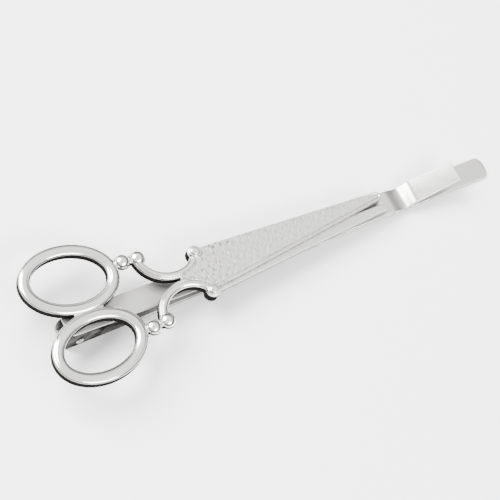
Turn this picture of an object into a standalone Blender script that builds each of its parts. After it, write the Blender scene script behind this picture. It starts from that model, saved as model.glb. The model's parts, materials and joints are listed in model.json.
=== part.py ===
# A hair clip dressed as a small pair of closed scissors.
#
# A one-piece casting (finger rings, beads, C-scrolls and two blades) is soldered on the upper strip
# of a sprung two-strip clip. The clip opens about a pin at the ring end when its far tab is lifted.
#
# Axes: +X from the rings to the blade tips, +Y to the left of the blades, +Z up. The lower strip lies
# flat on z = 0, and the origin ends up under the middle of the whole object.

import math

import bmesh
import bpy
import numpy as np
from mathutils import Matrix, Vector

MM = 0.001

# Clip strips. Stations along the clip are measured from its hinge end.
CLIP_LENGTH = 63.0 * MM  # hinge end to the far tip of the lower strip
STRIP_WIDTH = 3.15 * MM
TIP_WIDTH = 2.95 * MM  # lower strip at its far tip, and the end of the tab
LOWER_SHEET = 0.40 * MM
UPPER_SHEET = 0.40 * MM
CORNER_RADIUS = 0.90 * MM  # rounded corners at the hinge end
HINGE_HEIGHT = 4.00 * MM  # top of the upper strip at the hinge end
SLOPE_AT_HINGE = math.radians(7.0)  # how steeply the upper strip falls there
BRIDGE_STATION = 47.8 * MM  # where the upper strip stops falling and dips to the lower one
BRIDGE_HEIGHT = 1.40 * MM  # top of the upper strip there
DIP_STATION = 49.9 * MM  # line on which the upper strip presses on the lower one
KINK_STATION = 51.6 * MM  # foot of the tab
KINK_HEIGHT = 1.75 * MM
TAB_LENGTH = 6.2 * MM
TAB_ANGLE = math.radians(16.0)

# Hinge.
PIN_STATION = 1.80 * MM
PIN_HEIGHT = 1.35 * MM
PIN_RADIUS = 0.35 * MM
PIN_HEAD_RADIUS = 0.52 * MM
PIN_HEAD_RISE = 0.16 * MM
EAR_LENGTH = 9.5 * MM  # the ears taper out into the lower strip over this length
LUG_RADIUS = 0.78 * MM  # round foot of the upper strip's lugs about the pin
WIRE_RADIUS = 0.12 * MM
SPRING_TURNS = 2.5

# Casting, in its own plane: u along its axis from the ring centres, v across, h up from the ring tops.
RING_LONG = 6.60 * MM  # outer half length of a finger ring
RING_SHORT = 4.80 * MM  # outer half width
RING_BAND = 1.44 * MM
RING_TILT = math.radians(8.5)
RING_OVERLAP = 0.14 * MM  # how far each ring reaches over the axis into the other
CAST_DEPTH = 1.45 * MM
WEB_HALF_LENGTH = 2.10 * MM
WEB_HALF_WIDTH = 0.95 * MM
WEB_DROP = 0.40 * MM
BEAD_RADIUS = 1.00 * MM
BEAD_RISE = 0.35 * MM
BEAD_PITCH = 2.08 * MM
BEAD_PLACE = math.radians(10.0)  # where on the ring the first bead sits, from the ring's long axis
NECK_RADIUS = 0.60 * MM
SCROLL_LONG = 4.45 * MM  # half axes of the C-scroll's centre line
SCROLL_SHORT = 3.85 * MM
SCROLL_BAND = 1.15 * MM
SCROLL_CURL = 0.17  # share of its radius that the scroll turns in by at the knob
SCROLL_END = math.radians(327.0)
KNOB_RADIUS = 0.92 * MM
KNOB_RISE = 0.35 * MM
KNOB_DROP = 0.30 * MM
BLADE_LENGTH = 27.1 * MM  # knob centres to the tip of the wide blade
BLADE_ROOT_OUTER = 3.15 * MM  # wide blade's far edge beside the knobs
BLADE_TIP_OUTER = 2.60 * MM
BLADE_ROOT_INNER = -2.55 * MM  # wide blade's ridge edge beside the knobs
BLADE_TIP_INNER = 1.42 * MM
BLADE_TOP = -0.12 * MM
BLADE_DEPTH = 1.30 * MM
RIDGE_RADIUS = 0.22 * MM
SECOND_LENGTH = 27.6 * MM  # narrow blade
SECOND_ROOT = -3.05 * MM
SECOND_TIP = 0.0 * MM
SECOND_TIP_WIDTH = 0.95 * MM
SECOND_TOP = -0.75 * MM
SECOND_DEPTH = 1.38 * MM

# How the casting sits on the clip.
RING_STATION = 2.80 * MM  # ring centres, measured from the hinge end
CASTING_SIDE = 0.40 * MM  # the ring centres sit this far to the left of the strip
CASTING_TURN = math.radians(-2.0)  # soldered on a little askew
SOLDER_THICKNESS = 0.20 * MM
FRONT_SOLDER_STATION = 43.0 * MM
FRONT_SOLDER_LENGTH = 7.0 * MM
REAR_SOLDER_LENGTH = 2.4 * MM
SOLDER_WIDTH = 1.80 * MM

# Clearances.
SEAT_GAP = 0.10 * MM  # between fixed pieces laid on each other
REST_GAP = 0.10 * MM  # under the dip of the upper strip, and over the ears
RUNNING_GAP = 0.05 * MM  # round the pin and between ears and lugs

RING_STEPS = 72
ROUND_STEPS = 32


def smooth_step(t):
    return t * t * (3.0 - 2.0 * t)


# Building blocks


def material(name, colour, roughness, metallic=1.0):
    made = bpy.data.materials.new(name)
    made.use_nodes = True
    shader = made.node_tree.nodes["Principled BSDF"]
    shader.inputs["Base Color"].default_value = (*colour, 1.0)
    shader.inputs["Roughness"].default_value = roughness
    shader.inputs["Metallic"].default_value = metallic
    return made


def add_object(name, mesh, parent, look=None):
    made = bpy.data.objects.new(name, mesh)
    bpy.context.scene.collection.objects.link(made)
    made.parent = parent
    if look:
        mesh.materials.append(look)
    return made


def add_empty(name, parent, place=(0.0, 0.0, 0.0), turn=(0.0, 0.0, 0.0)):
    made = bpy.data.objects.new(name, None)
    made.empty_display_size = 2.0 * MM
    made.location = place
    made.rotation_euler = turn
    made.parent = parent
    bpy.context.scene.collection.objects.link(made)
    return made


def finish_mesh(name, shape):
    bmesh.ops.recalc_face_normals(shape, faces=shape.faces)
    mesh = bpy.data.meshes.new(name)
    shape.to_mesh(mesh)
    shape.free()
    mesh.shade_smooth()
    mesh.set_sharp_from_angle(angle=math.radians(35.0))
    return mesh


def lofted(name, sections, closed=False):
    # Skins a row of sections, each a loop of points with the same count. Open rows are capped.
    shape = bmesh.new()
    loops = [[shape.verts.new(point) for point in section] for section in sections]
    count = len(loops[0])
    pairs = list(zip(loops, loops[1:]))
    if closed:
        pairs.append((loops[-1], loops[0]))
    for first, second in pairs:
        for i in range(count):
            j = (i + 1) % count
            shape.faces.new((first[i], first[j], second[j], second[i]))
    if not closed:
        shape.faces.new(reversed(loops[0]))
        shape.faces.new(loops[-1])
    return finish_mesh(name, shape)


def prism(name, outline, low, high, axis="Z"):
    # Extrudes a closed outline along Z, or an outline of (x, z) points along Y.
    if axis == "Z":
        sections = [[(x, y, level) for x, y in outline] for level in (low, high)]
    else:
        sections = [[(x, level, z) for x, z in outline] for level in (low, high)]
    return lofted(name, sections)


def turned(name, profile, steps=ROUND_STEPS):
    # Turns a profile of (radius, height) points about Z. It starts and ends on the axis.
    shape = bmesh.new()
    bottom = shape.verts.new((0.0, 0.0, profile[0][1]))
    top = shape.verts.new((0.0, 0.0, profile[-1][1]))
    rings = []
    for radius, height in profile[1:-1]:
        angles = [2.0 * math.pi * i / steps for i in range(steps)]
        rings.append([shape.verts.new((radius * math.cos(a), radius * math.sin(a), height)) for a in angles])
    for i in range(steps):
        j = (i + 1) % steps
        shape.faces.new((bottom, rings[0][j], rings[0][i]))
        for lower, upper in zip(rings, rings[1:]):
            shape.faces.new((lower[i], lower[j], upper[j], upper[i]))
        shape.faces.new((rings[-1][i], rings[-1][j], top))
    return finish_mesh(name, shape)


def rounded_section(width, low, high, steps=14, power=2.6):
    # A superellipse: flatter than an ellipse on its top and sides, with no sharp edge.
    points = []
    for i in range(steps):
        angle = 2.0 * math.pi * (i + 0.5) / steps
        across, up = math.cos(angle), math.sin(angle)
        side = 0.5 * width * math.copysign(abs(across) ** (2.0 / power), across)
        rise = 0.5 * (high - low) * math.copysign(abs(up) ** (2.0 / power), up)
        points.append((side, 0.5 * (high + low) + rise))
    return points


def carried(name, path, section, closed=False):
    # Carries a (side, height) section along a path in the plane, kept square to it.
    path = np.asarray(path)
    if closed:
        along = np.roll(path, -1, axis=0) - np.roll(path, 1, axis=0)
    else:
        along = np.gradient(path, axis=0)
    along /= np.linalg.norm(along, axis=1)[:, None]
    across = np.column_stack([along[:, 1], -along[:, 0]])
    sections = []
    for centre, side in zip(path, across):
        sections.append([(*(centre + side * out), height) for out, height in section])
    return lofted(name, sections, closed)


def helper(name, mesh, parent):
    made = add_object(name, mesh, parent)
    made.hide_render = True
    made.display_type = "WIRE"
    return made


def combine(target, other, operation):
    modifier = target.modifiers.new(other.name, "BOOLEAN")
    modifier.operation = operation
    modifier.solver = "EXACT"
    modifier.object = other
    modifier.show_render = modifier.show_viewport


def arc(centre, radius, start, end, steps):
    angles = [start + (end - start) * i / steps for i in range(steps + 1)]
    return [(centre[0] + radius * math.cos(a), centre[1] + radius * math.sin(a)) for a in angles]


# Side view of the upper strip


def upper_top(station):
    # Height of the upper strip's top: a fall that eases out from the hinge end to the bridge.
    t = min(max(station / BRIDGE_STATION, 0.0), 1.0)
    fall = HINGE_HEIGHT - BRIDGE_HEIGHT
    start = math.tan(SLOPE_AT_HINGE) * BRIDGE_STATION
    # A cubic that leaves with the hinge slope and arrives nearly level.
    return HINGE_HEIGHT - start * t + (2.0 * start - 3.0 * fall) * t**2 + (2.0 * fall - start) * t**3


def upper_path():
    # Centre line of the upper strip's top face, as (station, height) points.
    points = [(BRIDGE_STATION * i / 24, upper_top(BRIDGE_STATION * i / 24)) for i in range(25)]
    dip_height = LOWER_SHEET + REST_GAP + UPPER_SHEET
    for i in range(1, 7):
        t = i / 6
        height = BRIDGE_HEIGHT + (dip_height - BRIDGE_HEIGHT) * smooth_step(t)
        points.append((BRIDGE_STATION + (DIP_STATION - BRIDGE_STATION) * t, height))
    for i in range(1, 7):
        t = i / 6
        height = dip_height + (KINK_HEIGHT - dip_height) * smooth_step(t) ** 0.9
        points.append((DIP_STATION + (KINK_STATION - DIP_STATION) * t, height))
    for i in range(1, 7):
        reach = TAB_LENGTH * i / 6
        points.append((KINK_STATION + reach * math.cos(TAB_ANGLE), KINK_HEIGHT + reach * math.sin(TAB_ANGLE)))
    return points


# Clip


def rounded_end(distance, radius):
    # How far a rounded corner has drawn the side in, at this distance from the end.
    if distance >= radius:
        return 0.0
    return radius - math.sqrt(max(radius**2 - (radius - distance) ** 2, 0.0))


def strip_sections(path, half_widths, sheet):
    # Sections of a strip whose top face follows the path, with the sheet's thickness square below it.
    path = np.asarray(path)
    along = np.gradient(path, axis=0)
    along /= np.linalg.norm(along, axis=1)[:, None]
    sections = []
    for (x, z), (dx, dz), half in zip(path, along, half_widths):
        low_x, low_z = x + dz * sheet, z - dx * sheet
        sections.append([(x, -half, z), (x, half, z), (low_x, half, low_z), (low_x, -half, low_z)])
    return sections


def end_stations(length, radius):
    # Stations packed into both rounded ends of a strip.
    steps = [0.02, 0.08, 0.2, 0.4, 0.7, 1.0]
    near = [radius * step for step in steps]
    return near + [length - radius * step for step in reversed(steps)]


def pin_hole(name, parent, radius):
    # A cutter along Y through the pin's axis.
    outline = arc((PIN_STATION, PIN_HEIGHT), radius, 0.0, 2.0 * math.pi * (1 - 1 / ROUND_STEPS), ROUND_STEPS - 1)
    return helper(name, prism(name, outline, -2.0 * STRIP_WIDTH, 2.0 * STRIP_WIDTH, "Y"), parent)


def ear_outline():
    # Side view of an ear: round behind the pin so the upper strip can swing, then a long taper.
    under_strip = upper_top(PIN_STATION) - UPPER_SHEET - PIN_HEIGHT
    swing = under_strip * math.cos(SLOPE_AT_HINGE) - REST_GAP
    behind = math.acos(-min(PIN_STATION / swing, 1.0))
    ahead = math.pi / 2 - SLOPE_AT_HINGE
    points = [(0.0, 0.0), (EAR_LENGTH, 0.0), (EAR_LENGTH, LOWER_SHEET)]
    return points + arc((PIN_STATION, PIN_HEIGHT), swing, ahead, behind, 12)


def lower_arm(parent, look):
    stations = end_stations(CLIP_LENGTH, CORNER_RADIUS)
    halves = []
    for station in stations:
        taper = STRIP_WIDTH + (TIP_WIDTH - STRIP_WIDTH) * station / CLIP_LENGTH
        near = min(station, CLIP_LENGTH - station)
        halves.append(0.5 * taper - rounded_end(near, CORNER_RADIUS) * (station > CLIP_LENGTH / 2))
    sections = strip_sections([(station, LOWER_SHEET) for station in stations], halves, LOWER_SHEET)
    arm = add_object("lower_arm", lofted("lower_arm", sections), parent, look)
    outer = 0.5 * STRIP_WIDTH
    for side, name in ((1, "left_ear"), (-1, "right_ear")):
        low, high = sorted((side * (outer - LOWER_SHEET), side * outer))
        combine(arm, helper(name, prism(name, ear_outline(), low, high, "Y"), parent), "UNION")
    combine(arm, pin_hole("ear_bore", parent, PIN_RADIUS + RUNNING_GAP), "DIFFERENCE")
    return arm


def lug_outline():
    # Side view of a lug: a tongue from the upper strip, round about the pin.
    swing = math.pi * 0.97
    foot = arc((PIN_STATION, PIN_HEIGHT), LUG_RADIUS, math.pi + (math.pi - swing), 2.0 * math.pi, 14)
    reach = PIN_STATION + LUG_RADIUS
    back = PIN_STATION - LUG_RADIUS
    top_front = upper_top(reach) - 0.5 * UPPER_SHEET
    top_back = upper_top(back) - 0.5 * UPPER_SHEET
    return foot + [(reach, top_front), (back, top_back)]


def upper_arm(parent, look):
    path = upper_path()
    radius = CORNER_RADIUS
    start = [(radius * step, upper_top(radius * step)) for step in (0.02, 0.08, 0.2, 0.4, 0.7, 1.0)]
    path = start + [point for point in path if point[0] > 1.2 * radius]
    tab_start, tab_end = KINK_STATION, path[-1][0]
    halves = []
    for station, _ in path:
        taper = min(max((station - tab_start) / (tab_end - tab_start), 0.0), 1.0)
        width = STRIP_WIDTH + (TIP_WIDTH - STRIP_WIDTH) * taper
        halves.append(0.5 * width - rounded_end(station, radius))
    arm = add_object("upper_arm", lofted("upper_arm", strip_sections(path, halves, UPPER_SHEET)), parent, look)
    outer = 0.5 * STRIP_WIDTH - LOWER_SHEET - RUNNING_GAP
    for side, name in ((1, "left_lug"), (-1, "right_lug")):
        low, high = sorted((side * (outer - UPPER_SHEET), side * outer))
        combine(arm, helper(name, prism(name, lug_outline(), low, high, "Y"), parent), "UNION")
    combine(arm, pin_hole("lug_bore", parent, PIN_RADIUS + RUNNING_GAP), "DIFFERENCE")
    return arm


def hinge_pin(parent, look):
    # A shaft with a peened head outside each ear.
    inside = 0.5 * STRIP_WIDTH + RUNNING_GAP
    head = [(PIN_HEAD_RADIUS, inside), (0.8 * PIN_HEAD_RADIUS, inside + 0.7 * PIN_HEAD_RISE)]
    tip = inside + PIN_HEAD_RISE
    half = [(PIN_RADIUS, inside)] + head + [(0.45 * PIN_HEAD_RADIUS, tip)]
    profile = [(0.0, -tip)] + [(r, -h) for r, h in reversed(half)] + half + [(0.0, tip)]
    pin = add_object("hinge_pin", turned("hinge_pin", profile), parent, look)
    pin.location = (PIN_STATION, 0.0, PIN_HEIGHT)
    pin.rotation_euler = (math.pi / 2, 0.0, 0.0)
    return pin


def hinge_spring(parent, look):
    # Coil about the pin between the lugs, with a leg to the hinge end on each strip.
    coil = PIN_RADIUS + RUNNING_GAP + WIRE_RADIUS
    room = STRIP_WIDTH - 2.0 * (LOWER_SHEET + UPPER_SHEET + 2.0 * RUNNING_GAP) - 2.0 * WIRE_RADIUS
    steps = int(SPRING_TURNS * 16)
    points = []
    low_leg = (0.45 * MM - PIN_STATION, LOWER_SHEET + SEAT_GAP + WIRE_RADIUS - PIN_HEIGHT)
    high_end = 0.75 * MM
    high_leg = (high_end - PIN_STATION, upper_top(high_end) - UPPER_SHEET - SEAT_GAP - 2.0 * WIRE_RADIUS - PIN_HEIGHT)
    points.append((low_leg[0], -0.5 * room, low_leg[1]))
    for i in range(steps + 1):
        angle = -math.pi / 2 + 2.0 * math.pi * SPRING_TURNS * i / steps
        points.append((coil * math.cos(angle), room * (i / steps - 0.5), coil * math.sin(angle)))
    points.append((high_leg[0], 0.5 * room, high_leg[1]))
    guide = bpy.data.curves.new("hinge_spring", "CURVE")
    guide.dimensions = "3D"
    guide.bevel_depth = WIRE_RADIUS
    guide.bevel_resolution = 2
    guide.use_fill_caps = True
    spline = guide.splines.new("POLY")
    spline.points.add(len(points) - 1)
    for point, place in zip(spline.points, points):
        point.co = (*place, 1.0)
    guide.materials.append(look)
    spring = bpy.data.objects.new("hinge_spring", guide)
    bpy.context.scene.collection.objects.link(spring)
    spring.parent = parent
    spring.location = (PIN_STATION, 0.0, PIN_HEIGHT)
    return spring


# Casting


def ring_centre(side):
    half_height = math.hypot(RING_LONG * math.sin(RING_TILT), RING_SHORT * math.cos(RING_TILT))
    return Vector((0.0, side * (half_height - RING_OVERLAP)))


def ring_point(side, angle, outset=0.0):
    # Point of a ring's centre line at this angle of its ellipse, moved outwards by outset.
    long_half, short_half = RING_LONG - 0.5 * RING_BAND, RING_SHORT - 0.5 * RING_BAND
    flat = Vector((long_half * math.cos(angle), short_half * math.sin(angle)))
    normal = Vector((math.cos(angle) / long_half, math.sin(angle) / short_half)).normalized()
    place = flat + normal * outset
    place.rotate(Matrix.Rotation(-RING_TILT, 2))
    return ring_centre(side) + Vector((place.x, side * place.y))


def bead_centres(side):
    first = ring_point(side, BEAD_PLACE, 0.5 * RING_BAND + 0.85 * BEAD_RADIUS)
    lean = Vector((math.cos(math.radians(6.0)), -side * math.sin(math.radians(6.0))))
    return first, first + lean * BEAD_PITCH


def scroll_point(side, angle):
    # The scroll's centre line: an ellipse from the second bead that turns in at its far end.
    bead = bead_centres(side)[1]
    centre = Vector((bead.x + SCROLL_LONG - 0.25 * BEAD_RADIUS, bead.y))
    share = (angle - math.pi) / (SCROLL_END - math.pi)
    shrink = 1.0 - SCROLL_CURL * max(share, 0.0) ** 4
    return centre + Vector((SCROLL_LONG * math.cos(angle), side * SCROLL_SHORT * math.sin(angle))) * shrink


def scroll_path(side, start=math.pi, end=SCROLL_END, steps=30):
    return [scroll_point(side, start + (end - start) * i / steps) for i in range(steps + 1)]


def knob_station():
    return scroll_point(1, SCROLL_END).x


def blade_outline():
    # The wide blade: bounded behind by the scrolls, with a rounded nose.
    root = knob_station()
    # It starts just inside the scrolls' centre lines and stops short of the knobs' centres.
    start, end = math.radians(272.0), SCROLL_END - math.radians(5.0)
    left = scroll_path(1, start, end, 7)
    right = scroll_path(-1, start, end, 7)
    tip = root + BLADE_LENGTH
    nose = BLADE_TIP_OUTER - BLADE_TIP_INNER
    far = [(root + 1.5 * MM, BLADE_ROOT_OUTER), (tip - 0.9 * nose, BLADE_TIP_OUTER)]
    rounding = arc((tip - 0.55 * nose, BLADE_TIP_OUTER - 0.55 * nose), 0.55 * nose, math.radians(70), 0.0, 5)
    near = [(tip, BLADE_TIP_INNER + 0.1 * nose), (tip - 0.1 * nose, BLADE_TIP_INNER), (root + 1.35 * MM, BLADE_ROOT_INNER)]
    return [tuple(p) for p in left] + far + rounding + near + [tuple(p) for p in reversed(right)]


def second_outline():
    # The narrow blade, which shows along the wide one's ridge edge and has a blunt nose.
    root = knob_station()
    tip = root + SECOND_LENGTH
    corner = 0.25 * MM
    return [
        (root, SECOND_ROOT + 0.5 * MM),
        (root + 0.9 * MM, SECOND_ROOT),
        (tip - corner, SECOND_TIP),
        (tip, SECOND_TIP + corner),
        (tip, SECOND_TIP + SECOND_TIP_WIDTH - corner),
        (tip - corner, SECOND_TIP + SECOND_TIP_WIDTH),
        (root + 2.0 * MM, 0.0),
    ]


def ridge_path():
    root = knob_station()
    start = Vector((root + 0.9 * MM, BLADE_ROOT_INNER + 0.15 * MM))
    end = Vector((root + BLADE_LENGTH - 0.25 * MM, BLADE_TIP_INNER + 0.15 * MM))
    return [start.lerp(end, i / 6) for i in range(7)]


def bead_profile(radius, low, high):
    # A ball squashed to the given heights.
    points = []
    for i in range(13):
        angle = -math.pi / 2 + math.pi * i / 12
        height = 0.5 * (low + high) + 0.5 * (high - low) * math.sin(angle)
        points.append((radius * math.cos(angle), height))
    return points


def knob_profile():
    low, high = -CAST_DEPTH - KNOB_DROP, KNOB_RISE
    shoulder = 0.45 * KNOB_RADIUS
    dome = arc((KNOB_RADIUS - shoulder, high - shoulder), shoulder, 0.0, math.pi / 2, 5)
    foot = [(0.0, low), (0.85 * KNOB_RADIUS, low), (KNOB_RADIUS, low + 0.15 * KNOB_RADIUS)]
    return foot + dome + [(0.0, high)]


def scissors_ornament(frame, look):
    casting = add_object("scissors_ornament", prism("blade", blade_outline(), -BLADE_DEPTH, BLADE_TOP), frame, look)
    parts = [helper("second_blade", prism("second_blade", second_outline(), -SECOND_DEPTH, SECOND_TOP), frame)]
    ridge = rounded_section(2.0 * RIDGE_RADIUS, -2.0 * RIDGE_RADIUS, 0.0, 10, 2.0)
    parts.append(helper("blade_ridge", carried("blade_ridge", ridge_path(), ridge), frame))
    band = rounded_section(RING_BAND, -CAST_DEPTH, 0.0)
    rail = rounded_section(SCROLL_BAND, -CAST_DEPTH, 0.0)
    for side, name in ((1, "left"), (-1, "right")):
        angles = [2.0 * math.pi * i / RING_STEPS for i in range(RING_STEPS)]
        ring = [ring_point(side, angle) for angle in angles]
        parts.append(helper(name + "_ring", carried(name + "_ring", ring, band, True), frame))
        scroll = helper(name + "_scroll", carried(name + "_scroll", scroll_path(side), rail), frame)
        parts.append(scroll)
        beads = bead_centres(side)
        for centre, order in zip(beads, ("first", "second")):
            bead_name = f"{name}_{order}_bead"
            profile = bead_profile(BEAD_RADIUS, -CAST_DEPTH + 0.05 * MM, BEAD_RISE)
            bead = helper(bead_name, turned(bead_name, profile, 24), frame)
            bead.location = (*centre, 0.0)
            parts.append(bead)
        stem = [ring_point(side, BEAD_PLACE), beads[0], beads[1]]
        neck = rounded_section(2.0 * NECK_RADIUS, -1.2 * MM, -0.3 * MM, 10, 2.0)
        parts.append(helper(name + "_neck", carried(name + "_neck", stem, neck), frame))
        knob = helper(name + "_knob", turned(name + "_knob", knob_profile(), 28), frame)
        knob.location = (*scroll_point(side, SCROLL_END), 0.0)
        parts.append(knob)
    lowest = RING_LONG * math.sin(RING_TILT) * 0.6
    web_outline = [
        (lowest + WEB_HALF_LENGTH * math.cos(a), WEB_HALF_WIDTH * math.sin(a))
        for a in (2.0 * math.pi * i / 24 for i in range(24))
    ]
    web = prism("ring_web", web_outline, -CAST_DEPTH + 0.1 * MM, -WEB_DROP)
    parts.append(helper("ring_web", web, frame))
    for part in parts:
        combine(casting, part, "UNION")
    return casting


# Solder


def solder_patch(name, station, length, under_casting, parent, look):
    # A flat oval that fills the space between the upper strip and the casting.
    sections = []
    steps = 12
    for i in range(steps + 1):
        angle = math.pi * (1.0 - (i + 0.35) / (steps + 0.7))
        x = station + 0.5 * length * math.cos(angle)
        half = 0.5 * SOLDER_WIDTH * math.sin(angle)
        low, high = upper_top(x) + SEAT_GAP, under_casting(x) - SEAT_GAP
        sections.append([(x, -half, low), (x, half, low), (x, half, high), (x, -half, high)])
    return add_object(name, lofted(name, sections), parent, look)


def overall_box():
    # Lowest and highest corner of everything that shows.
    bpy.context.view_layer.update()
    graph = bpy.context.evaluated_depsgraph_get()
    places = []
    for item in bpy.data.objects:
        if item.type == "EMPTY" or item.hide_render:
            continue
        evaluated = item.evaluated_get(graph)
        mesh = evaluated.to_mesh()
        places += [evaluated.matrix_world @ vertex.co for vertex in mesh.vertices]
        evaluated.to_mesh_clear()
    places = np.array(places)
    return places.min(axis=0), places.max(axis=0)


def main():
    for old in list(bpy.data.objects):
        bpy.data.objects.remove(old, do_unlink=True)

    steel = material("bright_plated_steel", (0.80, 0.80, 0.79), 0.22)
    cast = material("silver_plated_zinc", (0.86, 0.86, 0.85), 0.18)
    wire = material("spring_wire", (0.62, 0.62, 0.61), 0.30)
    solder = material("soft_solder", (0.68, 0.68, 0.68), 0.42)

    root = add_empty("clip_root", None)
    hinge = add_empty("hinge_axis", root, (PIN_STATION, 0.0, PIN_HEIGHT))
    # Pieces of the moving arm are drawn in the clip's own coordinates, so this undoes the hinge's place.
    moving = add_empty("moving_frame", hinge, (-PIN_STATION, 0.0, -PIN_HEIGHT))

    # The casting's underside clears the upper strip by the solder and its two seats at both patches.
    stack = SOLDER_THICKNESS + 2.0 * SEAT_GAP
    rear_under = upper_top(RING_STATION) + stack
    front_under = upper_top(FRONT_SOLDER_STATION) + stack
    fall = (rear_under - front_under) / (FRONT_SOLDER_STATION - RING_STATION)
    pitch = math.atan(fall)

    def under_casting(station):
        return rear_under - fall * (station - RING_STATION)

    ring_top = rear_under + CAST_DEPTH / math.cos(pitch)
    place = (RING_STATION, CASTING_SIDE, ring_top)
    frame = add_empty("casting_frame", moving, place, (0.0, pitch, CASTING_TURN))

    lower_arm(root, steel)
    hinge_pin(root, steel)
    hinge_spring(root, wire)
    upper_arm(moving, steel)
    scissors_ornament(frame, cast)
    solder_patch("rear_solder", RING_STATION, REAR_SOLDER_LENGTH, under_casting, moving, solder)
    solder_patch("front_solder", FRONT_SOLDER_STATION, FRONT_SOLDER_LENGTH, under_casting, moving, solder)

    # Set the origin under the middle of the whole object.
    low, high = overall_box()
    root.location = (-0.5 * (low[0] + high[0]), -0.5 * (low[1] + high[1]), -low[2])


main()
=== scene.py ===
import json
import math

import bpy
import numpy as np
from mathutils import Matrix, Vector


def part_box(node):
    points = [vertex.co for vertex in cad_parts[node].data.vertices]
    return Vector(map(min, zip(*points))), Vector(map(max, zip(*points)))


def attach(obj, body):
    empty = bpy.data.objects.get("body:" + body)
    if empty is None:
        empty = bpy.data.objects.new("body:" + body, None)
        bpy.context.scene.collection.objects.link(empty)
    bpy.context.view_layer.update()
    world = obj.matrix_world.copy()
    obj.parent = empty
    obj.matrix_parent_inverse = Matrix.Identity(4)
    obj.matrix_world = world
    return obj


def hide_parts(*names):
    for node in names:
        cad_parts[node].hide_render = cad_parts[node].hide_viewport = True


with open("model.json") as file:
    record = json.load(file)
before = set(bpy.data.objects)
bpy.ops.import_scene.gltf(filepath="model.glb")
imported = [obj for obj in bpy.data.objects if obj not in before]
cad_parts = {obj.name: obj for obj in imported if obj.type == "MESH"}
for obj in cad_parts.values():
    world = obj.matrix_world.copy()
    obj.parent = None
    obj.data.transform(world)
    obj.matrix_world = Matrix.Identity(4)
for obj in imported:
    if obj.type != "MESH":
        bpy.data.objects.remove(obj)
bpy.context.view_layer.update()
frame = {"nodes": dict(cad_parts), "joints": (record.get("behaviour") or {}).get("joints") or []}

# A hair clip dressed as a pair of closed scissors: a silver-plated casting on a sprung two-strip clip.
# Lengths are in metres. mm turns millimetres into metres.
mm = 0.001

pinPlace = np.array(frame["joints"][0]["pos_m"])
lowerBox = [np.array(corner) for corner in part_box("lower_arm")]
stripMiddle = 0.5 * (lowerBox[0][1] + lowerBox[1][1])
hingeEnd = lowerBox[0][0]


# Numpy surfaces

def smoothStep(low, high, value):
    # 3 t squared less 2 t cubed: an S-shaped curve from 0 at low to 1 at high, level beyond them.
    # It works with low above high too.
    t = np.clip((value - low) / (high - low), 0.0, 1.0)
    return t * t * (3.0 - 2.0 * t)


def hump(value, middle, width):
    # A bell-shaped bump, 1 at the middle, that has faded to about a third one width away.
    return np.exp(-(((value - middle) / width) ** 2))


def straight(u, start, end, first, last):
    # The straight line that is first at start and last at end.
    return first + (last - first) * (u - start) / (end - start)


def closedShell(points, shade, wraps=False):
    # A closed shell from a grid of points: rows along, columns round. The rows either wrap, or each end
    # row is capped by a fan to its middle. Faces are turned round if the signed volume is negative.
    rows, columns = points.shape[:2]
    verts, values = points.reshape(-1, 3), shade.reshape(-1)
    a, b = np.meshgrid(np.arange(rows if wraps else rows - 1), np.arange(columns), indexing="ij")
    nextA, nextB = (a + 1) % rows, (b + 1) % columns
    quads = np.stack([a * columns + b, a * columns + nextB, nextA * columns + nextB, nextA * columns + b], -1)
    quads = quads.reshape(-1, 4)
    fans = np.zeros((0, 3), dtype=int)
    if not wraps:
        verts = np.vstack([verts, points[0].mean(0), points[-1].mean(0)])
        values = np.concatenate([values, [shade[0].mean(), shade[-1].mean()]])
        i = np.arange(columns)
        j = (i + 1) % columns
        last, middle = (rows - 1) * columns, rows * columns
        fans = np.vstack([np.stack([j, i, 0 * i + middle], -1),
                          np.stack([last + i, last + j, 0 * i + middle + 1], -1)])
    triangles = np.vstack([quads[:, :3], quads[:, [0, 2, 3]], fans])
    if np.linalg.det(verts[triangles]).sum() < 0:
        quads, fans = quads[:, [0, 3, 2, 1]], fans[:, [0, 2, 1]]
    return verts, quads, fans, values


def addPiece(name, shells, body, look, replaced):
    # One mesh from several closed shells, with their tarnish and painted shade, that rides on a body in place
    # of a CAD node.
    faces, start = [], 0
    for verts, quads, fans, values in shells:
        faces += (quads + start).tolist() + (fans + start).tolist()
        start += len(verts)
    mesh = bpy.data.meshes.new(name)
    mesh.from_pydata(np.vstack([shell[0] for shell in shells]).tolist(), [], faces)
    tarnishAndShadeLayer = mesh.attributes.new("tarnishAndShade", "FLOAT", "POINT")
    tarnishAndShadeLayer.data.foreach_set("value", np.concatenate([shell[3] for shell in shells]).astype(np.float32))
    mesh.shade_smooth()
    mesh.materials.append(look)
    piece = bpy.data.objects.new(name, mesh)
    bpy.context.scene.collection.objects.link(piece)
    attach(piece, body)
    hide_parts(replaced)


def roundedBox(width, low, high, edge, perCorner):
    # A rectangle with rounded corners, anticlockwise from the lower right, as (side, height) rows.
    half = 0.5 * width
    corners = ((half - edge, low + edge), (half - edge, high - edge),
               (-half + edge, high - edge), (-half + edge, low + edge))
    parts = []
    for k, (x, y) in enumerate(corners):
        angle = -math.pi / 2 + k * math.pi / 2 + np.linspace(0.0, math.pi / 2, perCorner)
        parts.append(np.stack([x + edge * np.cos(angle), y + edge * np.sin(angle)], -1))
    return np.vstack(parts)


# Casting plane: u along the scissors from the ring centres, v across, h up from the ring tops.

casting = {
    "forward": 1.00 * mm,  # ring centres ahead of the hinge pin
    "aside": 0.40 * mm,
    "above": 4.1719 * mm,  # ring tops above the hinge pin
    "turn": math.radians(-2.0),
    "pitch": math.radians(3.203),
    "depth": 1.45 * mm,
    "tarnishAndShadeFrom": 0.22 * mm,  # depth at which the polish gives way to the dark finish and painted shade
    "tarnishAndShadeTo": 0.46 * mm,
}


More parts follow.
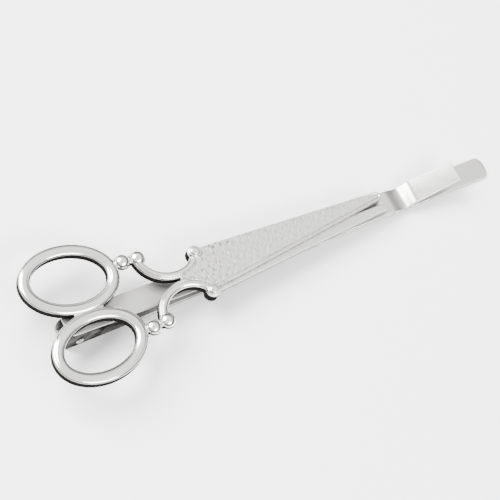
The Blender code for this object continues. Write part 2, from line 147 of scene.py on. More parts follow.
def castingToWorld(points):
    # Turns by the pitch about Y, then by the turn about Z, then moves to the ring centres.
    c, s = math.cos(casting["pitch"]), math.sin(casting["pitch"])
    tilt = np.array([[c, 0, s], [0, 1, 0], [-s, 0, c]])
    c, s = math.cos(casting["turn"]), math.sin(casting["turn"])
    swing = np.array([[c, -s, 0], [s, c, 0], [0, 0, 1]])
    place = pinPlace + [casting["forward"], casting["aside"], casting["above"]]
    return points @ (swing @ tilt).T + place


def castShell(points, amount=1.0, extra=0.0, lift=0.0, wraps=False):
    # A shell in casting coordinates, darkened by its depth below the ring tops: dark finish in the recesses
    # and painted shade on the walls and undersides. lift starts it higher up.
    depth = lift - points[..., 2]
    shade = amount * smoothStep(casting["tarnishAndShadeFrom"], casting["tarnishAndShadeTo"], depth) + extra
    return closedShell(castingToWorld(points), np.clip(shade, 0.0, 1.0), wraps)


def carried(path, section, wraps=False, scale=1.0):
    # Carries a (side, height) section along a plane path, square to it. scale narrows it along the way.
    if wraps:
        along = np.roll(path, -1, axis=0) - np.roll(path, 1, axis=0)
    else:
        along = np.gradient(path, axis=0)
    along /= np.linalg.norm(along, axis=1)[:, None]
    across = np.stack([along[:, 1], -along[:, 0]], -1)
    grow = scale * np.ones(len(path))
    plan = path[:, None] + across[:, None] * (section[None, :, :1] * grow[:, None, None])
    height = np.broadcast_to(section[None, :, 1:], (*plan.shape[:2], 1))
    return np.concatenate([plan, height], -1)


def bandSection(width, low, high, power=2.0, steps=30, crown=0.30):
    # A D laid on its back: a crown that follows a superellipse over upright walls with a soft foot.
    half, rise, foot = 0.5 * width, crown * (high - low), 0.12 * (high - low)
    t = np.linspace(0.0, math.pi, steps)
    top = np.stack([half * np.sign(np.cos(t)) * np.abs(np.cos(t)) ** (2.0 / power),
                    high - rise + rise * np.abs(np.sin(t)) ** (2.0 / power)], -1)
    down = np.linspace(high - rise, low + foot, 7)[1:]
    bend = np.linspace(0.0, math.pi / 2, 6)[1:]
    left = np.vstack([np.stack([-half + 0.0 * down, down], -1),
                      np.stack([-half + foot * (1.0 - np.cos(bend)), low + foot * (1.0 - np.sin(bend))], -1)])
    return np.vstack([top, left, left[::-1] * [-1.0, 1.0]])


def turnedPoints(centre, radius, height, steps):
    # Turns a (radius, height) profile about an upright axis. Both ends are close to the axis.
    t = np.linspace(0.0, 2.0 * math.pi, steps, endpoint=False)
    u = centre[0] + radius[:, None] * np.cos(t)
    v = centre[1] + radius[:, None] * np.sin(t)
    return np.stack([u, v, height[:, None] + 0.0 * t], -1)


ring = {
    "long": 6.60 * mm,
    "short": 4.80 * mm,
    "band": 1.56 * mm,
    "tilt": math.radians(8.5),
    "overlap": 0.14 * mm,
    "inset": 0.035 * mm,  # keeps the smooth band just inside the faceted one
    "groove": 0.035 * mm,  # shallow line inside the crown of the band
    "groovePlace": 0.24,  # from the middle of the band, as shares of its width
    "grooveWidth": 0.06,
    "grooveDown": -0.5 * mm,  # the line stays above this height
}


def ringCentre(side):
    # The tilted ellipse's half height across, less the overlap, so that the two rings just meet.
    high = math.hypot(ring["long"] * math.sin(ring["tilt"]), ring["short"] * math.cos(ring["tilt"]))
    return np.array([0.0, side * (high - ring["overlap"])])


def ringPoint(side, angle, outset=0.0):
    # A tilted ellipse: (a cos t, b sin t) moved along its normal, turned, and mirrored for the right ring.
    angle = np.asarray(angle, dtype=float)
    a, b = ring["long"] - 0.5 * ring["band"], ring["short"] - 0.5 * ring["band"]
    flat = np.stack([a * np.cos(angle), b * np.sin(angle)], -1)
    normal = np.stack([np.cos(angle) / a, np.sin(angle) / b], -1)
    normal /= np.linalg.norm(normal, axis=-1, keepdims=True)
    flat = flat + normal * outset
    c, s = math.cos(ring["tilt"]), math.sin(ring["tilt"])
    turned = np.stack([flat[..., 0] * c + flat[..., 1] * s, -flat[..., 0] * s + flat[..., 1] * c], -1)
    return ringCentre(side) + turned * [1.0, side]


def fingerRing(side):
    # The band section, with a line sunk into its crown, carried round the ellipse.
    section = bandSection(ring["band"], -casting["depth"], 0.0)
    line = hump(-section[:, 0], ring["groovePlace"] * ring["band"], ring["grooveWidth"] * ring["band"])
    section[:, 1] -= ring["groove"] * line * (section[:, 1] > ring["grooveDown"])
    angle = 2.0 * math.pi * np.arange(220) / 220
    return castShell(carried(ringPoint(side, angle, -ring["inset"]), section, wraps=True), wraps=True)


web = {
    "middle": 0.60 * mm,
    "halfLength": 2.10 * mm,
    "halfWidth": 0.95 * mm,
    "drop": 0.30 * mm,
}


def ringWeb():
    # A flat oval with a rounded rim: ovals of the given (reach, fall) shares from its top to its foot.
    t = np.linspace(0.0, 2.0 * math.pi, 96, endpoint=False)
    rim = np.array([[0.02, 0.0], [0.8, 0.0], [0.95, 0.05], [1.0, 0.18], [1.0, 0.9], [0.02, 0.9]])
    reach, fall = rim[:, :1], rim[:, 1:]
    u = web["middle"] + web["halfLength"] * reach * np.cos(t)
    v = web["halfWidth"] * reach * np.sin(t)
    h = -web["drop"] - fall * (casting["depth"] - web["drop"]) + 0.0 * t
    return castShell(np.stack([u, v, h], -1))


bead = {
    "radius": 1.06 * mm,
    "rise": 0.35 * mm,
    "floor": 0.05 * mm,  # bead foot above the casting's foot
    "pitch": 2.08 * mm,
    "place": math.radians(10.0),
    "lean": math.radians(6.0),
    "seat": 0.85,  # first bead's centre out from the edge of the band, as a share of its radius
    "neck": 1.10 * mm,
    "neckFoot": -1.20 * mm,
    "neckTop": -0.20 * mm,
    "tarnishAndShadeLift": 0.02 * mm,  # how much higher up the dark finish and painted shade start than on the rings
}


def beadCentres(side):
    # The first bead sits against the ring, and the second one pitch further on, leaning inwards.
    first = ringPoint(side, bead["place"], 0.5 * ring["band"] + bead["seat"] * bead["radius"])
    lean = np.array([math.cos(bead["lean"]), -side * math.sin(bead["lean"])])
    return first, first + lean * bead["pitch"]


def ball(centre):
    # A half circle turned about its axis, squashed between the bead's foot and its rise.
    t = np.linspace(-math.pi / 2 + 0.04, math.pi / 2 - 0.04, 40)
    low, high = -casting["depth"] + bead["floor"], bead["rise"]
    height = 0.5 * (low + high) + 0.5 * (high - low) * np.sin(t)
    # Its lower half is darkened by depth: painted shade.
    return castShell(turnedPoints(centre, bead["radius"] * np.cos(t), height, 72), lift=bead["tarnishAndShadeLift"])


def beadNeck(side):
    # A short band from the middle of the ring's band through both beads.
    first, second = beadCentres(side)
    start = ringPoint(side, bead["place"])
    t = np.linspace(0.0, 1.0, 8)[:, None]
    path = np.vstack([start + (first - start) * t[:-1], first + (second - first) * t])
    return castShell(carried(path, bandSection(bead["neck"], bead["neckFoot"], bead["neckTop"])))


scroll = {
    "long": 4.45 * mm,
    "short": 3.85 * mm,
    "band": 1.15 * mm,
    "curl": 0.17,  # share of the radius lost by the knob
    "end": math.radians(327.0),
    "power": 2.4,  # squareness of the crown
    "onTop": -0.55 * mm,  # the groove and the lip stay above this height
    "groove": 0.16 * mm,
    "groovePlace": 0.52,  # shares of the half width, outwards
    "grooveWidth": 0.13,
    "lip": 0.03 * mm,
    "lipPlace": -0.25,
    "lipWidth": 0.35,
}


def scrollPoint(side, angle):
    # An ellipse from the second bead whose radius shrinks, by the fourth power, towards the knob.
    angle = np.asarray(angle, dtype=float)
    centre = beadCentres(side)[1] + [scroll["long"] - 0.25 * bead["radius"], 0.0]
    share = np.clip((angle - math.pi) / (scroll["end"] - math.pi), 0.0, None)
    shrink = (1.0 - scroll["curl"] * share**4)[..., None]
    flat = np.stack([scroll["long"] * np.cos(angle), side * scroll["short"] * np.sin(angle)], -1)
    return centre + flat * shrink


def scrollRail(side):
    # A rounded rail with a groove along its outer, blade side and a low lip along its inner side.
    section = bandSection(scroll["band"], -casting["depth"], 0.0, scroll["power"], 56)
    outward = section[:, 0] * side / (0.5 * scroll["band"])
    onTop = section[:, 1] > scroll["onTop"]
    section[:, 1] -= scroll["groove"] * hump(outward, scroll["groovePlace"], scroll["grooveWidth"]) * onTop
    section[:, 1] += scroll["lip"] * hump(outward, scroll["lipPlace"], scroll["lipWidth"]) * onTop
    angle = np.linspace(math.pi, scroll["end"], 150)
    return castShell(carried(scrollPoint(side, angle), section))


knob = {
    "radius": 0.92 * mm,
    "rise": 0.35 * mm,
    "drop": 0.30 * mm,
    "dome": 0.62,  # height of the domed head, as a share of the radius
    "coil": 0.12 * mm,  # depth of the coiled line
    "coilPlace": 0.72,  # shares of the radius
    "coilDrift": 0.06,
    "coilWidth": 0.10,
}


def scrollKnob(side):
    # A short round post with a domed head and a coiled line cut round it: the line's radius drifts with
    # the angle round the knob.
    centre = scrollPoint(side, scroll["end"])
    high, low, r = knob["rise"], -casting["depth"] - knob["drop"], knob["radius"]
    dome = knob["dome"] * r
    t = np.linspace(math.pi / 2 - 0.02, 0.0, 26)
    head = np.stack([r * np.cos(t) ** 0.8, high - dome + dome * np.sin(t)], -1)
    wall = np.linspace(high - dome, low + 0.2 * r, 12)[1:]
    foot = np.array([[0.96 * r, low + 0.08 * r], [0.85 * r, low], [0.02 * r, low]])
    profile = np.vstack([head, np.stack([r + 0.0 * wall, wall], -1), foot])
    points = turnedPoints(centre, profile[:, 0], profile[:, 1], 96)
    fromCentre = points[..., :2] - centre
    around = np.arctan2(fromCentre[..., 1], fromCentre[..., 0]) / math.pi
    out = np.hypot(fromCentre[..., 1], fromCentre[..., 0]) / r
    line = hump(out, knob["coilPlace"] + side * knob["coilDrift"] * around, knob["coilWidth"])
    points[..., 2] -= knob["coil"] * line * (points[..., 2] > high - 0.5 * r)
    return castShell(points, lift=bead["tarnishAndShadeLift"])


knobStation = float(scrollPoint(1, scroll["end"])[0])

# Stations along the blades are measured from the knobs.
blade = {
    "start": -3.3 * mm,
    "rootStation": 1.4 * mm,
    "length": 27.1 * mm,
    "rootOuter": 3.15 * mm,
    "tipOuter": 2.60 * mm,
    "rootInner": -2.55 * mm,
    "tipInner": 1.42 * mm,
    "top": -0.12 * mm,
    "foot": -1.30 * mm,
    "edge": 0.16 * mm,
    "rimRise": 0.11 * mm,
    "hammer": 0.012 * mm,  # depth of the dents
    "seed": 3,
    "columns": 100,
    "tarnishAndShadeLift": 0.20 * mm,
}
secondBlade = {
    "start": 0.1 * mm,
    "rootStation": 0.9 * mm,
    "length": 27.6 * mm,
    "root": -3.05 * mm,
    "tip": 0.0 * mm,
    "rootFar": 0.2 * mm,
    "tipWidth": 0.95 * mm,
    "settle": (0.5 * mm, 1.1 * mm),  # the near edge starts this far in and runs out over this length
    "top": -0.58 * mm,
    "foot": -1.38 * mm,
    "edge": 0.20 * mm,
    "rimRise": 0.0,
    "hammer": 0.008 * mm,
    "seed": 8,
    "columns": 36,
    "tarnishAndShadeLift": -0.42 * mm,
}
bladeFace = {
    "dent": 0.34 * mm,  # size of the dents: waves run from 0.8 to 3.6 times this
    "waves": 40,
    "rootDents": 1.5,  # the dents are deeper at the root and shallower at the tip
    "tipDents": 0.7,
    "plainRim": (0.35 * mm, 0.60 * mm),  # the dents start between these distances from the near edge
    "plainFar": (0.05 * mm, 0.30 * mm),  # and fade out between these from the far edge
    "rimPlace": 0.24 * mm,
    "rimWidth": 0.20 * mm,
    "nose": 0.36,  # length of the rounding, as a share of the tip's width
    "wallTarnishAndShade": 0.60,
    "pitTarnish": 0.10,  # dark finish left in the dents, with painted shade added at the root beside the scrolls and along the far edge
    "rootShade": 0.24,
    "farEdgeShade": 0.22,
}
ridge = {"start": 1.6 * mm, "width": 0.34 * mm, "sunk": 0.20 * mm, "nose": 0.75 * mm, "back": 3.0 * mm}


def crinkle(u, v, seed):
    # Sum of seeded sine waves in many directions: a soft random relief, of about unit height.
    rng = np.random.default_rng(seed)
    total = np.zeros_like(u)
    for _ in range(bladeFace["waves"]):
        angle = rng.uniform(0.0, 2.0 * math.pi)
        wave = 2.0 * math.pi / (bladeFace["dent"] * rng.uniform(0.8, 3.6))
        total += np.sin(wave * (u * math.cos(angle) + v * math.sin(angle)) + rng.uniform(0.0, 6.28))
    return total / math.sqrt(bladeFace["waves"])


def bladeStations(shape):
    # Rows along a blade, a little closer together towards the nose.
    start, end = knobStation + shape["start"], knobStation + shape["length"]
    return start + (end - start) * np.linspace(0.0, 1.0, 420) ** 0.92


def bladeShell(shape, stations, near, far):
    # Sections across the blade between its near and far edges. Each runs up the far wall, over the face
    # and down the near wall. reach is the share of the half width and pull that of the edge's inset.
    # The nose is rounded by drawing both edges together over its last stretch.
    top, edge = shape["top"], shape["edge"]
    left = np.clip((stations[-1] - stations) / (bladeFace["nose"] * (far[-1] - near[-1])), 0.0, 1.0)
    rounding = np.sqrt(np.clip(1.0 - (1.0 - left) ** 2.6, 0.0, 1.0))
    half = (0.5 * (far - near) * rounding + 0.01 * mm)[:, None]
    middle = 0.5 * (far + near)[:, None]
    face = np.linspace(1.0, -1.0, shape["columns"])
    corner = np.linspace(0.0, math.pi / 2, 7)[:-1]
    wall = np.linspace(shape["foot"], top - edge, 5)[:-1]
    plain = np.ones(len(wall) + len(corner))
    drawn = 1.0 - np.cos(corner)
    bend = top - edge * (1.0 - np.sin(corner))
    reach = np.concatenate([plain, face, -plain])
    pull = np.concatenate([0.0 * wall, -drawn, -face, drawn[::-1], 0.0 * wall])
    level = np.concatenate([wall, bend, top + 0.0 * face, bend[::-1], wall[::-1]])
    onFace = np.concatenate([0.0 * plain, 1.0 + 0.0 * face, 0.0 * plain])
    v = middle + half * reach + np.minimum(edge, 0.6 * half) * pull
    u = np.broadcast_to(stations[:, None], v.shape)
    dents = crinkle(u, v, shape["seed"])
    fromNear, fromFar = v - (middle - half), middle + half - v
    share = ((stations - stations[0]) / (stations[-1] - stations[0]))[:, None]
    deeper = straight(share, 0.0, 1.0, bladeFace["rootDents"], bladeFace["tipDents"])
    inside = smoothStep(*bladeFace["plainRim"], fromNear) * smoothStep(*bladeFace["plainFar"], fromFar)
    relief = shape["hammer"] * deeper * dents * inside
    relief += shape["rimRise"] * hump(fromNear, bladeFace["rimPlace"], bladeFace["rimWidth"])
    h = level + onFace * relief
    # The dents take the dark finish, with painted shade added near the scrolls and at the far edge. The walls
    # get painted shade.
    pits = smoothStep(-0.3, 1.6, -dents) * (h > top - 0.06 * mm)
    atRoot = 1.0 - smoothStep(knobStation + 1.0 * mm, knobStation + 9.0 * mm, u)
    atFar = smoothStep(0.9 * mm, 0.3 * mm, v.max(1)[:, None] - v)
    pitTarnishAndShade = bladeFace["pitTarnish"] + bladeFace["rootShade"] * atRoot + bladeFace["farEdgeShade"] * atFar
    return castShell(np.stack([u, v, h], -1), bladeFace["wallTarnishAndShade"], pits * pitTarnishAndShade, shape["tarnishAndShadeLift"])


def wideEdges(u):
    # Straight near and far edges of the wide blade.
    root, nose = knobStation + blade["rootStation"], knobStation + blade["length"]
    near = straight(u, root, nose, blade["rootInner"], blade["tipInner"])
    return near, straight(u, root, nose, blade["rootOuter"], blade["tipOuter"])


def wideBlade():
    # Behind the knobs its edges run together, so that it grows out from between the scrolls.
    u = bladeStations(blade)
    spread = smoothStep(u[0] - 0.6 * mm, knobStation + 1.3 * mm, u) ** 0.75
    near, far = wideEdges(u)
    return bladeShell(blade, u, near * spread, far * spread)


def bladeRidge():
    # A half-round polished rim carried along the near edge of the wide blade, round its nose on half an
    # oval, and a little way back down the far edge. It thins to nothing at both ends.
    end, inset = knobStation + blade["length"], 0.5 * ridge["width"]
    shoulder = end - ridge["nose"]
    u = np.linspace(knobStation + ridge["start"], shoulder, 160)
    back = np.linspace(shoulder - 0.05 * mm, end - ridge["back"], 16)
    nearNose, farNose = wideEdges(end)
    low, high = nearNose + inset, farNose - inset
    t = np.linspace(-math.pi / 2, math.pi / 2, 40)[1:]
    nose = np.stack([shoulder + (ridge["nose"] - inset) * np.cos(t) ** 0.7,
                     0.5 * (low + high) + 0.5 * (high - low) * np.sin(t)], -1)
    path = np.vstack([np.stack([u, wideEdges(u)[0] + inset], -1), nose,
                      np.stack([back, wideEdges(back)[1] - inset], -1)])
    share = np.linspace(0.0, 1.0, len(path))
    fade = np.maximum(0.08, smoothStep(0.0, 0.08, share) * smoothStep(1.0, 0.93, share))
    low, high = blade["top"] - ridge["sunk"], blade["top"] + blade["rimRise"]
    return castShell(carried(path, bandSection(ridge["width"], low, high, crown=0.6), scale=fade))


def narrowBlade():
    # The second blade, lower down, that shows along the near side of the wide one.
    u = bladeStations(secondBlade)
    inset, run = secondBlade["settle"]
    root, tip = knobStation + secondBlade["rootStation"], secondBlade["tip"]
    near = straight(u, root, u[-1], secondBlade["root"], tip)
    near = near + inset * (1.0 - smoothStep(u[0], u[0] + run, u))
    far = straight(u, knobStation, u[-1], secondBlade["rootFar"], tip + secondBlade["tipWidth"])
    return bladeShell(secondBlade, u, near, far)


# Colours and finishes

# The dark colour serves both as real tarnish in recesses and as painted shade on walls, undersides and
# between parts.
tarnishAndShade = {
    "colour": "#1b1a19",  # black of the sulphide left in the recesses, and painted shade on walls, undersides and between the clip strips
    "base": 0.85,  # share that is dark at full depth, plus the patches below
    "patches": 0.60,
    "rougher": 0.30,
}


def linear(code):
    # An sRGB hex colour as linear red, green, blue and alpha.
    values = [int(code[i:i + 2], 16) / 255.0 for i in (1, 3, 5)]
    return [v / 12.92 if v <= 0.04045 else ((v + 0.055) / 1.055) ** 2.4 for v in values] + [1.0]


def node(tree, kind, settings=None, inputs=None):
    # Adds a node, sets its properties and inputs. An input given as a socket is linked.
    made = tree.nodes.new(kind)
    for key, value in (settings or {}).items():
        setattr(made, key, value)
    for key, value in (inputs or {}).items():
        if isinstance(value, bpy.types.NodeSocket):
            tree.links.new(value, made.inputs[key])
        else:
            made.inputs[key].default_value = value
    return made


def metal(name, light, dark, roughness, grain, bump, stretch=(1.0, 1.0, 1.0), tarnishedAndShaded=False,
          cloud=mm / 0.42):
    # Polished metal whose roughness and colour drift in soft clouds, with a fine grain in its bump.
    # grain and cloud are the sizes of their spots. The real grain is too fine to show, so it is drawn
    # coarser. Tarnish and painted shade fade the metal into a dull dark film, by the piece's own attribute of
    # both.
    made = bpy.data.materials.new(name)
    made.use_nodes = True
    tree = made.node_tree
    tree.nodes.clear()
    place = node(tree, "ShaderNodeTexCoord").outputs["Object"]
    drawn = node(tree, "ShaderNodeMapping", None, {"Vector": place, "Scale": stretch}).outputs["Vector"]
    clouds = node(tree, "ShaderNodeTexNoise", None,
                  {"Vector": place, "Scale": 1.0 / cloud, "Detail": 4.0, "Roughness": 0.55}).outputs["Fac"]
    fine = node(tree, "ShaderNodeTexNoise", None,
                {"Vector": drawn, "Scale": 1.0 / grain, "Detail": 6.0, "Roughness": 0.65}).outputs["Fac"]
    rough = node(tree, "ShaderNodeMapRange", None,
                 {"Value": clouds, "From Min": 0.3, "From Max": 0.7,
                  "To Min": roughness[0], "To Max": roughness[1]}).outputs["Result"]
    colour = node(tree, "ShaderNodeMix", {"data_type": "RGBA"},
                  {"Factor": clouds, 6: linear(light), 7: linear(dark)}).outputs[2]
    metallic, gloss = 1.0, 0.5
    if tarnishedAndShaded:
        # Dark finish and painted shade: read from the attribute and broken into patches, it blends in the
        # dark colour.
        depth = node(tree, "ShaderNodeAttribute", {"attribute_name": "tarnishAndShade"}).outputs["Fac"]
        patch = node(tree, "ShaderNodeMath", {"operation": "MULTIPLY_ADD"},
                     {0: clouds, 1: tarnishAndShade["patches"], 2: tarnishAndShade["base"]}).outputs[0]
        share = node(tree, "ShaderNodeMath", {"operation": "MULTIPLY", "use_clamp": True},
                     {0: patch, 1: depth}).outputs[0]
        colour = node(tree, "ShaderNodeMix", {"data_type": "RGBA"},
                      {"Factor": share, 6: colour, 7: linear(tarnishAndShade["colour"])}).outputs[2]
        rough = node(tree, "ShaderNodeMath", {"operation": "MULTIPLY_ADD"},
                     {0: share, 1: tarnishAndShade["rougher"], 2: rough}).outputs[0]
        metallic = node(tree, "ShaderNodeMath", {"operation": "SUBTRACT"}, {0: 1.0, 1: share}).outputs[0]
        gloss = node(tree, "ShaderNodeMath", {"operation": "MULTIPLY_ADD"},
                     {0: share, 1: -0.5, 2: 0.5}).outputs[0]
    relief = node(tree, "ShaderNodeBump", None, {"Height": fine, "Strength": bump, "Distance": 0.03 * mm})
    shader = node(tree, "ShaderNodeBsdfPrincipled", None,
                  {"Base Color": colour, "Roughness": rough, "Metallic": metallic,
                   "Specular IOR Level": gloss, "Normal": relief.outputs["Normal"]})
    node(tree, "ShaderNodeOutputMaterial", None, {"Surface": shader.outputs["BSDF"]})
    return made


# Silver plating over a polished zinc casting: nearly white, soft-edged highlights, a dark finish in its
# recesses and painted shade on its walls and undersides.
silverPlate = metal("silverPlatedZinc", "#f4f3f0", "#dddcd8", (0.10, 0.22), grain=mm / 3.5, bump=0.10,
                    tarnishedAndShaded=True)
# The same plating over a hammered face, whose small dents break the light up.
hammeredPlate = metal("hammeredSilverPlate", "#eeedea", "#cccbc7", (0.22, 0.36), grain=mm / 5.2, bump=0.65,
                      tarnishedAndShaded=True, cloud=mm / 0.9)
# Nickel plating over rolled spring steel: faint lines along the strip, with painted shade towards the hinge
# and on its edges.
nickelSteel = metal("nickelPlatedSteel", "#e4e3e0", "#c2c1bd", (0.24, 0.38), grain=mm / 2.6, bump=0.12,
                    stretch=(0.06, 1.0, 1.0), tarnishedAndShaded=True)
# Bright steel pin: a clear highlight, made a little uneven by the peening.
pinSteel = metal("peenedPinSteel", "#e2e1de", "#bdbcb8", (0.16, 0.30), grain=mm / 4.2, bump=0.25)
# Spring wire: greyer than the plating, with fine lines left by the drawing die.
drawnWire = metal("drawnSpringWire", "#bdbbb6", "#8f8d88", (0.24, 0.40), grain=mm / 3.0, bump=0.20,
                  stretch=(1.0, 0.1, 1.0))
# Soft solder: dull grey and lumpy, with no clear highlights.
softSolder = metal("softSolder", "#c4c3bf", "#8e8d89", (0.38, 0.60), grain=mm / 2.4, bump=0.60)
print("finishes made")

frameShells = [fingerRing(1), fingerRing(-1), ringWeb(), bladeRidge()]
for side in (1, -1):
    frameShells += [ball(centre) for centre in beadCentres(side)]
    frameShells += [beadNeck(side), scrollRail(side), scrollKnob(side)]
addPiece("castingFrame", frameShells, "upper", silverPlate, "scissors_ornament")
addPiece("castingBlades", [wideBlade(), narrowBlade()], "upper", hammeredPlate,
         "scissors_ornament")
print("casting made")


# Clip strips. Stations run along the clip from its hinge end.

clip = {
    "length": 62.97 * mm,
    "width": 3.15 * mm,
    "tipWidth": 2.95 * mm,
    "sheet": 0.40 * mm,
    "edge": 0.13 * mm,
    "corner": 0.90 * mm,
    "endCorner": 0.12 * mm,  # the ends that are cut square have their corners just broken
    "hingeHeight": 4.00 * mm,
    "hingeSlope": math.radians(7.0),
    "bridge": (47.8 * mm, 1.40 * mm),  # station and height
    "dip": 49.9 * mm,
    "restGap": 0.10 * mm,
    "kink": (51.6 * mm, 1.75 * mm),
    "tabLength": 6.2 * mm,
    "tabAngle": math.radians(16.0),
    "earLength": 9.5 * mm,
    "earEdge": 0.10 * mm,
    "lugRadius": 0.78 * mm,
    "lugEdge": 0.06 * mm,
    "runningGap": 0.05 * mm,
    "platePaintedShade": 0.80,  # painted shade on the ears and lugs
    "stripShadeStations": (18.0 * mm, 36.0 * mm),  # the strips' painted shade fades out between these stations
    "facePaintedShade": 0.26,
    "wallPaintedShade": 0.35,
    "hingeWallPaintedShade": 0.60,
}
cornerShares = np.array([0.012, 0.05, 0.12, 0.22, 0.36, 0.52, 0.7, 0.88])  # bunched where it turns fastest


def upperTop(station):
    # A cubic fall from the hinge end that arrives level at the bridge.
    reach, level = clip["bridge"]
    t = np.clip(station / reach, 0.0, 1.0)
    fall = clip["hingeHeight"] - level
    start = math.tan(clip["hingeSlope"]) * reach
    return clip["hingeHeight"] - start * t + (2 * start - 3 * fall) * t**2 + (2 * fall - start) * t**3


def upperPath():
    # The fall, the dip that presses on the lower strip, the rise, and the straight lifting tab.
    reach, level = clip["bridge"]
    kinkAt, kinkLevel = clip["kink"]
    low = 2.0 * clip["sheet"] + clip["restGap"]
    fall = np.concatenate([clip["corner"] * cornerShares, [clip["corner"]],
                           np.linspace(1.2 * clip["corner"], reach, 90)[:-1]])
    dip = np.linspace(reach, clip["dip"], 24)[:-1]
    rise = np.linspace(clip["dip"], kinkAt, 24)[:-1]
    tab = clip["tabLength"] * np.sin(np.linspace(0.0, math.pi / 2, 60))
    dipTop = level + (low - level) * smoothStep(0.0, 1.0, (dip - reach) / (clip["dip"] - reach))
    climb = smoothStep(0.0, 1.0, (rise - clip["dip"]) / (kinkAt - clip["dip"])) ** 0.9
    riseTop = low + (kinkLevel - low) * climb
    tabStation = kinkAt + tab * math.cos(clip["tabAngle"])
    tabTop = kinkLevel + tab * math.sin(clip["tabAngle"])
    return np.vstack([np.stack([fall, upperTop(fall)], -1), np.stack([dip, dipTop], -1),
                      np.stack([rise, riseTop], -1), np.stack([tabStation, tabTop], -1)])


def cornerDraw(distance, radius):
    # How far a rounded corner has drawn each side in, at this distance from the end.
    inside = np.clip(radius - distance, 0.0, radius)
    return radius - np.sqrt(np.clip(radius**2 - inside**2, 0.0, None))


def stripShell(path, half):
    # A rounded rectangle carried along a side-view path, its thickness square below the path, with
    # half the width given at each point.
    along = np.gradient(path, axis=0)
    along /= np.linalg.norm(along, axis=1)[:, None]
    section = roundedBox(2.0 * clip["width"], -clip["sheet"], 0.0, clip["edge"], 7)
    side, depth = section[:, 0], section[:, 1]
    y = np.sign(side) * np.maximum(half[:, None] + np.abs(side) - clip["width"], 0.004 * mm)
    x = path[:, :1] - along[:, 1:] * depth
    z = path[:, 1:] + along[:, :1] * depth
    # Painted shade: some on the face, more on the side walls, strongest towards the hinge end.
    fade = 1.0 - smoothStep(*clip["stripShadeStations"], x)
    wall = smoothStep(-0.5 * clip["edge"], -1.6 * clip["edge"], depth)
    shade = clip["facePaintedShade"] * fade + wall * (clip["wallPaintedShade"] + clip["hingeWallPaintedShade"] * fade)
    return closedShell(np.stack([hingeEnd + x, stripMiddle + y, z], -1), np.clip(shade, 0.0, 1.0))


def plateShell(outline, first, second, edge):
    # A flat plate standing along the clip, between two distances to the side: its side-view outline,
    # drawn towards its middle by the edge at both faces.
    low, high = sorted((first, second))
    middle = outline.mean(0)
    reach = outline - middle
    across = np.array([low, low + 0.3 * edge, low + edge, high - edge, high - 0.3 * edge, high])
    inset = edge * np.array([1.0, 0.3, 0.0, 0.0, 0.3, 1.0])
    size = np.linalg.norm(reach, axis=1)
    flat = middle + reach * (1.0 - inset[:, None] / size)[..., None]
    y = stripMiddle + across[:, None] + 0.0 * flat[..., 0]
    # The plates are evenly darkened with painted shade.
    return closedShell(np.stack([hingeEnd + flat[..., 0], y, flat[..., 1]], -1), clip["platePaintedShade"] + 0.0 * y)


def earOutline():
    # Round behind the pin, just clear of the upper strip, then a long taper to the lower strip.
    # The pin fills its bore, so none is cut.
    pin = (pinPlace[0] - hingeEnd, pinPlace[2])
    under = float(upperTop(pin[0])) - clip["sheet"] - pin[1]
    swing = under * math.cos(clip["hingeSlope"]) - clip["restGap"]
    angle = np.linspace(math.pi / 2 - clip["hingeSlope"], math.acos(-min(pin[0] / swing, 1.0)), 30)
    arc = np.stack([pin[0] + swing * np.cos(angle), pin[1] + swing * np.sin(angle)], -1)
    corner = np.array([[0.02, 0.35], [0.10, 0.12], [0.35, 0.03]]) * mm
    front = np.array([[clip["earLength"], 0.03 * mm], [clip["earLength"], clip["sheet"]]])
    return np.vstack([corner, front, arc])


def lugOutline():
    # A half circle under the pin, run straight up into the underside of the upper strip. No bore is cut.
    pin = (pinPlace[0] - hingeEnd, pinPlace[2])
    radius = clip["lugRadius"]
    angle = np.linspace(math.pi, 2.0 * math.pi, 30)
    foot = np.stack([pin[0] + radius * np.cos(angle), pin[1] + radius * np.sin(angle)], -1)
    side = pin[0] + radius * np.array([1.0, -1.0])
    return np.vstack([foot, np.stack([side, upperTop(side) - 0.5 * clip["sheet"]], -1)])


def upperStrip():
    # The bent strip, narrowing along its lifting tab, and two lugs inside the ears.
    path = upperPath()
    taper = np.clip((path[:, 0] - clip["kink"][0]) / (path[-1, 0] - clip["kink"][0]), 0.0, 1.0)
    steps = np.linalg.norm(np.diff(path[::-1], axis=0), axis=1)
    fromTip = np.concatenate([[0.0], np.cumsum(steps)])[::-1]
    half = 0.5 * (clip["width"] + (clip["tipWidth"] - clip["width"]) * taper)
    half -= cornerDraw(path[:, 0], clip["corner"]) + cornerDraw(fromTip, clip["endCorner"])
    outer = 0.5 * clip["width"] - clip["sheet"] - clip["runningGap"]
    inner = outer - clip["sheet"]
    lugs = [plateShell(lugOutline(), side * outer, side * inner, clip["lugEdge"]) for side in (1, -1)]
    return [stripShell(path, half)] + lugs


def lowerStrip():
    # The flat strip, with a rounded far tip, and two ears folded up along its sides at the hinge.
    station = np.concatenate([np.array([0.0, 0.01, 0.04, 0.1]) * mm,
                              np.linspace(0.2 * mm, clip["length"] - clip["corner"], 120),
                              clip["length"] - clip["corner"] * cornerShares[::-1], [clip["length"]]])
    half = 0.5 * (clip["width"] + (clip["tipWidth"] - clip["width"]) * station / clip["length"])
    half -= cornerDraw(clip["length"] - station, clip["corner"])
    half = np.maximum(half - cornerDraw(station, clip["endCorner"]), 0.02 * mm)
    outer = 0.5 * clip["width"]
    inner = outer - clip["sheet"]
    ears = [plateShell(earOutline(), side * outer, side * inner, clip["earEdge"]) for side in (1, -1)]
    return [stripShell(np.stack([station, clip["sheet"] + 0.0 * station], -1), half)] + ears


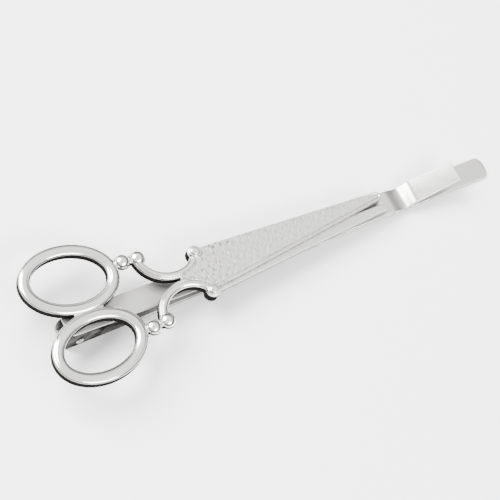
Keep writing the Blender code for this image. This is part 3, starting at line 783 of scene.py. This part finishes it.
addPiece("upperStrip", upperStrip(), "upper", nickelSteel, "upper_arm")
addPiece("lowerStrip", lowerStrip(), "lower", nickelSteel, "lower_arm")
fittings = {"hinge_pin": pinSteel, "hinge_spring": drawnWire,
            "rear_solder": softSolder, "front_solder": softSolder}
for name, look in fittings.items():
    mesh = frame["nodes"][name].data
    mesh.materials.clear()
    mesh.materials.append(look)
print("clip made")


# Studio

studio = {
    "floorSize": 1.6,
    "floorHeight": -0.02 * mm,
    "floorColour": "#fafafa",
    "sky": ((0.0, 0.04), (1.0, 0.72), (0.35, 0.08), (0.62, 0.45), (0.80, 0.95)),  # height and brightness
    "skyStrength": 2.5,
    "lights": {  # place, size and power
        "keyLight": ((-0.30, 0.40, 0.52), (0.55, 0.45), 24.0),
        "fillLight": ((0.10, -0.55, 0.55), (0.50, 0.25), 9.0),
    },
    "elevation": math.radians(62.41),
    "azimuth": math.radians(-53.0),
    "roll": math.radians(27.56),
    "distance": 393.1 * mm,
    "lens": 221.8,
    "aim": (-1.26 * mm, 1.06 * mm, -0.08 * mm),
}


def addLight(name, place, size, power):
    # A soft rectangle of light turned towards the camera's aim.
    data = bpy.data.lights.new(name, "AREA")
    data.shape = "RECTANGLE"
    data.size, data.size_y = size
    data.energy = power
    light = bpy.data.objects.new(name, data)
    bpy.context.scene.collection.objects.link(light)
    light.location = place
    light.rotation_euler = (Vector(studio["aim"]) - Vector(place)).to_track_quat("-Z", "Y").to_euler()


def addFloor():
    # A pale sheet just under the clip.
    half, height = 0.5 * studio["floorSize"], studio["floorHeight"]
    corners = [(-half, -half, height), (half, -half, height), (half, half, height), (-half, half, height)]
    mesh = bpy.data.meshes.new("floor")
    mesh.from_pydata(corners, [], [(0, 1, 2, 3)])
    floor = bpy.data.objects.new("floor", mesh)
    bpy.context.scene.collection.objects.link(floor)
    paper = bpy.data.materials.new("paleBackdropPaper")  # matt white paper: no clear reflections
    paper.use_nodes = True
    shader = paper.node_tree.nodes["Principled BSDF"]
    shader.inputs["Base Color"].default_value = linear(studio["floorColour"])
    shader.inputs["Roughness"].default_value = 0.9
    mesh.materials.append(paper)


def addSky():
    # A white sky that darkens to the horizon, so that the metal has something dark to reflect.
    world = bpy.data.worlds.new("studio")
    bpy.context.scene.world = world
    world.use_nodes = True
    tree = world.node_tree
    tree.nodes.clear()
    direction = node(tree, "ShaderNodeTexCoord").outputs["Generated"]
    height = node(tree, "ShaderNodeSeparateXYZ", None, {0: direction}).outputs["Z"]
    ramp = node(tree, "ShaderNodeValToRGB", None, {"Fac": height})
    stops = ramp.color_ramp.elements
    for k, (position, level) in enumerate(studio["sky"]):
        stop = stops[k] if k < 2 else stops.new(position)  # a new ramp has its two end stops already
        stop.position = position
        stop.color = (level, level, level, 1.0)
    sky = node(tree, "ShaderNodeBackground", None,
               {"Color": ramp.outputs["Color"], "Strength": studio["skyStrength"]})
    node(tree, "ShaderNodeOutputWorld", None, {"Surface": sky.outputs["Background"]})


def addCamera():
    # Stands back from the aim by azimuth and elevation, then rolls about its own line of sight.
    a, e = studio["azimuth"], studio["elevation"]
    back = Vector((math.sin(a) * math.cos(e), -math.cos(a) * math.cos(e), math.sin(e)))
    data = bpy.data.cameras.new("camera")
    data.lens = studio["lens"]
    data.clip_start, data.clip_end = 0.01, 10.0
    camera = bpy.data.objects.new("camera", data)
    bpy.context.scene.collection.objects.link(camera)
    camera.location = Vector(studio["aim"]) + back * studio["distance"]
    level = (-back).to_track_quat("-Z", "Y").to_matrix()
    camera.rotation_euler = (level @ Matrix.Rotation(studio["roll"], 3, "Z")).to_euler()
    bpy.context.scene.camera = camera


addFloor()
addSky()
for name, (place, size, power) in studio["lights"].items():
    addLight(name, place, size, power)
addCamera()
print("studio made")
